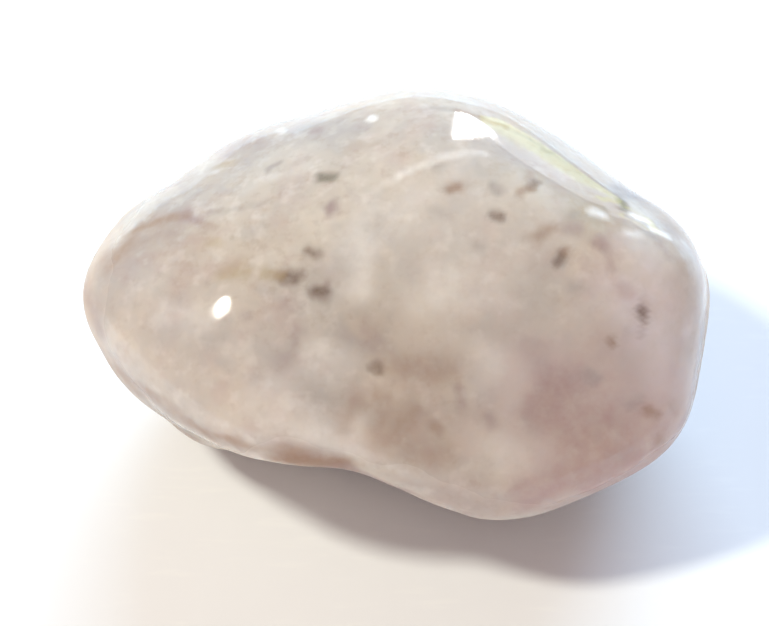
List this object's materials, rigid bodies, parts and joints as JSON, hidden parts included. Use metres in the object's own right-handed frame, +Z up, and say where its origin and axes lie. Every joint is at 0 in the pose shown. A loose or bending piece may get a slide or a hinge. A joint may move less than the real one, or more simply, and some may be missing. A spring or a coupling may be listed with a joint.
{
  "type": "tumbled stone",
  "caption": "Tumbled quartz pebble with softly rounded facets, a slim end, a blunt end and a hollow below, lying on a small flat spot.",
  "frame": {"origin": "middle of the box that holds the stone, on the surface it rests on", "axes": "+X along the stone from its slim end to its blunt end, +Z up from the flat spot, -Y towards the broad front face"},
  "size_m": [0.0278, 0.0194, 0.0164],
  "materials": {
    "quartz": "polished"
  },
  "bodies": {
    "root": {"stone": "quartz"}
  },
  "joints": []
}
